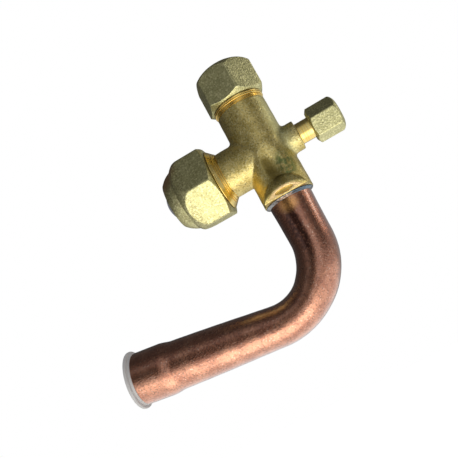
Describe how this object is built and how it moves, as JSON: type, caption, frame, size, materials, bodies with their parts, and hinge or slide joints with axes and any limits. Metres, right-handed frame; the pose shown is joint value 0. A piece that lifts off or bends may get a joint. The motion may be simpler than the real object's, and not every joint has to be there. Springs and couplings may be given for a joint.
{
  "type": "refrigerant service valve",
  "caption": "Brass service valve for a refrigerant line: capped stem, flare arm with its nut, small capped charging port, and a bent copper tube brazed in below, its end plugged.",
  "frame": {"origin": "centre of the open mouth of the copper tube's socket, on the tube's own axis", "axes": "+Z along the stem, towards its cap; +X along the charging port, away from the flare arm; the foot's pad faces -Y. The tube's socket opens towards -X, tilted 6.7 degrees up"},
  "size_m": [0.1245, 0.0332, 0.1113],
  "materials": {
    "forged_brass": "sandblasted",
    "turned_brass": "satin",
    "copper": "drawn copper, heat tinted",
    "braze": "cast",
    "steel": "satin",
    "rubber": "matte",
    "seal_plastic": "matte",
    "flare_plug_plastic": "matte",
    "tube_plug_plastic": "translucent"
  },
  "bodies": {
    "valve": {"valve_body": "forged_brass", "outlet_tube": "copper", "braze_ring": "braze", "stem_retaining_ring": "steel", "core_barrel": "turned_brass", "core_gasket": "seal_plastic", "core_plug": "turned_brass", "core_spring": "steel"},
    "stem_cap_seal": {"stem_cap_seal": "seal_plastic"},
    "stem_cap": {"stem_cap": "turned_brass"},
    "flare_plug": {"flare_plug": "flare_plug_plastic"},
    "flare_nut": {"flare_nut": "turned_brass"},
    "service_cap_seal": {"service_cap_seal": "seal_plastic"},
    "service_cap": {"service_cap": "turned_brass"},
    "stem_seals": {"stem_o_ring_1": "rubber", "stem_o_ring_2": "rubber"},
    "stem": {"stem": "turned_brass"},
    "core_pin": {"core_pin": "turned_brass", "core_cup": "turned_brass", "core_cup_seal": "seal_plastic"},
    "tube_plug": {"tube_plug": "tube_plug_plastic"}
  },
  "joints": [
    {"name": "stem_cap_travel", "type": "slide", "parent": "valve", "child": "stem_cap_seal", "axis": [0, 0, 1], "range_m": [0, 0.0105]},
    {"name": "stem_cap_turn", "type": "hinge", "parent": "stem_cap_seal", "child": "stem_cap", "pos_m": [0.08731, 0, 0.05564], "axis": [0, 0, 1], "range_deg": [0, 2520.5]},
    {"name": "flare_nut_travel", "type": "slide", "parent": "valve", "child": "flare_plug", "axis": [-1, 0, 0], "range_m": [0, 0.01088]},
    {"name": "flare_nut_turn", "type": "hinge", "parent": "flare_plug", "child": "flare_nut", "pos_m": [0.08731, 0, 0.05564], "axis": [-1, 0, 0], "range_deg": [0, 2160.5]},
    {"name": "service_cap_travel", "type": "slide", "parent": "valve", "child": "service_cap_seal", "axis": [1, 0, 0], "range_m": [0, 0.00762]},
    {"name": "service_cap_turn", "type": "hinge", "parent": "service_cap_seal", "child": "service_cap", "pos_m": [0.08731, 0, 0.05564], "axis": [1, 0, 0], "range_deg": [0, 2160.5]},
    {"name": "stem_travel", "type": "slide", "parent": "valve", "child": "stem_seals", "axis": [0, 0, 1], "range_m": [0, 0.006]},
    {"name": "stem_turn", "type": "hinge", "parent": "stem_seals", "child": "stem", "pos_m": [0.08731, 0, 0.05564], "axis": [0, 0, 1], "range_deg": [0, 2160.5]},
    {"name": "core_pin_press", "type": "slide", "parent": "valve", "child": "core_pin", "axis": [-1, 0, 0], "range_m": [0, 0.0008], "stiffness_N_per_m": 300, "deforming": ["core_spring"]},
    {"name": "tube_plug_pull", "type": "slide", "parent": "valve", "child": "tube_plug", "axis": [-0.9932, 0, 0.1167], "range_m": [0, 0.012]}
  ],
  "couplings": [
    {"joint": "stem_cap_turn", "follows": "stem_cap_travel", "rad_per_m": 4188.8},
    {"joint": "flare_nut_turn", "follows": "flare_nut_travel", "rad_per_m": 3463.7},
    {"joint": "service_cap_turn", "follows": "service_cap_travel", "rad_per_m": 4947.4},
    {"joint": "stem_turn", "follows": "stem_travel", "rad_per_m": 6283.2}
  ]
}
